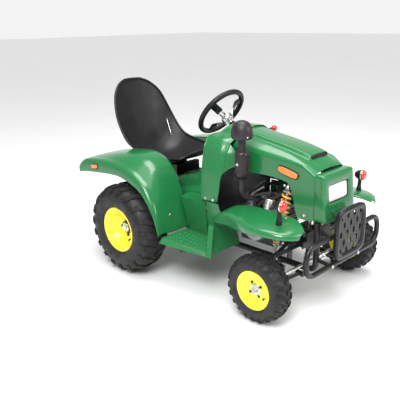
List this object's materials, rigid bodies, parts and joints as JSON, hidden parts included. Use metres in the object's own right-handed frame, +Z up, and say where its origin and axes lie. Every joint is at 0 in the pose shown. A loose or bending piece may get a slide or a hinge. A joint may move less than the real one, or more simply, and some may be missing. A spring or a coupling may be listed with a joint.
{
  "type": "ride-on mini tractor vehicle",
  "caption": "Small ride-on vehicle styled as a farm tractor, with steered front wheels, live rear axle, bucket seat and front bumper.",
  "frame": {"origin": "middle of the vehicle on the ground it stands on", "axes": "+X forward, +Y to the rider's left, +Z up"},
  "size_m": [1.478, 0.956, 0.9151],
  "materials": {
    "green_body": "gloss moulded body panel",
    "black_frame": "semi-gloss powder coat",
    "black_plastic": "satin",
    "seat_plastic": "satin with fine grain",
    "wheel_yellow": "gloss enamel",
    "tyre": "matte",
    "bright_steel": "zinc plated",
    "cast_metal": "as cast",
    "lamp_clear": "polished",
    "lamp_red": "polished"
  },
  "bodies": {
    "chassis": {"lower_arm_left": "black_frame", "lower_arm_right": "black_frame", "upper_arm_left": "black_frame", "upper_arm_right": "black_frame", "front_shock_left": "bright_steel", "front_shock_right": "bright_steel", "steering_column": "black_frame", "frame_rail_left": "black_frame", "frame_rail_right": "black_frame", "front_frame": "black_frame", "footboard_tube": "black_frame", "swing_arm": "black_frame", "hitch_plate": "black_frame", "engine": "cast_metal", "stack": "black_plastic", "hood": "green_body", "nose": "green_body", "headlight": "lamp_clear", "cowl": "green_body", "firewall": "black_plastic", "tunnel": "green_body", "footboard_left": "green_body", "footboard_right": "green_body", "rear_fender_left": "green_body", "rear_fender_right": "green_body", "front_fender_left": "green_body", "front_fender_right": "green_body", "marker_lamp_left": "lamp_red", "marker_lamp_right": "lamp_red", "seat": "seat_plastic", "seat_bracket": "black_frame", "bumper_loop": "black_frame", "bumper_plate": "black_frame", "gear_lever": "lamp_red", "pedal_left": "black_frame", "pedal_right": "black_frame"},
    "steering_wheel": {"steering_wheel": "black_plastic", "steering_shaft": "bright_steel"},
    "steering_pitman": {"lower_steering_shaft": "bright_steel"},
    "knuckle_left": {"knuckle_left": "cast_metal"},
    "knuckle_right": {"knuckle_right": "cast_metal"},
    "tie_rod_left": {"tie_rod_left": "bright_steel"},
    "tie_rod_right": {"tie_rod_right": "bright_steel"},
    "front_wheel_left": {"front_tyre_left": "tyre", "front_rim_left": "wheel_yellow"},
    "front_wheel_right": {"front_tyre_right": "tyre", "front_rim_right": "wheel_yellow"},
    "rear_wheels": {"rear_axle": "bright_steel", "rear_rim_left": "wheel_yellow", "rear_rim_right": "wheel_yellow", "rear_tyre_left": "tyre", "rear_tyre_right": "tyre"}
  },
  "joints": [
    {"name": "steering_turn", "type": "hinge", "parent": "chassis", "child": "steering_wheel", "pos_m": [-0.023, 0, 0.795], "axis": [-0.8151, 0, 0.5793], "range_deg": [-30, 30]},
    {"name": "pitman_turn", "type": "hinge", "parent": "chassis", "child": "steering_pitman", "pos_m": [0.519, 0, 0.3], "axis": [0, 0, 1], "range_deg": [-30, 30]},
    {"name": "knuckle_left_turn", "type": "hinge", "parent": "chassis", "child": "knuckle_left", "pos_m": [0.519, 0.268, 0.2], "axis": [0, 0, 1], "range_deg": [-30, 30]},
    {"name": "knuckle_right_turn", "type": "hinge", "parent": "chassis", "child": "knuckle_right", "pos_m": [0.519, -0.268, 0.2], "axis": [0, 0, 1], "range_deg": [-30, 30]},
    {"name": "tie_rod_left_turn", "type": "hinge", "parent": "knuckle_left", "child": "tie_rod_left", "pos_m": [0.591, 0.28, 0.208], "axis": [0, 0, 1], "range_deg": [-30, 30]},
    {"name": "tie_rod_right_turn", "type": "hinge", "parent": "knuckle_right", "child": "tie_rod_right", "pos_m": [0.591, -0.28, 0.208], "axis": [0, 0, 1], "range_deg": [-30, 30]},
    {"name": "front_wheel_left_spin", "type": "hinge", "parent": "knuckle_left", "child": "front_wheel_left", "pos_m": [0.519, 0.355, 0.152], "axis": [0, 1, 0], "continuous": true},
    {"name": "front_wheel_right_spin", "type": "hinge", "parent": "knuckle_right", "child": "front_wheel_right", "pos_m": [0.519, -0.355, 0.152], "axis": [0, 1, 0], "continuous": true},
    {"name": "rear_axle_spin", "type": "hinge", "parent": "chassis", "child": "rear_wheels", "pos_m": [-0.309, 0, 0.229], "axis": [0, 1, 0], "continuous": true}
  ],
  "couplings": [
    {"joint": "pitman_turn", "follows": "steering_turn", "ratio": 1},
    {"joint": "knuckle_left_turn", "follows": "steering_turn", "ratio": 1},
    {"joint": "knuckle_right_turn", "follows": "steering_turn", "ratio": 1},
    {"joint": "tie_rod_left_turn", "follows": "steering_turn", "ratio": -1},
    {"joint": "tie_rod_right_turn", "follows": "steering_turn", "ratio": -1}
  ]
}
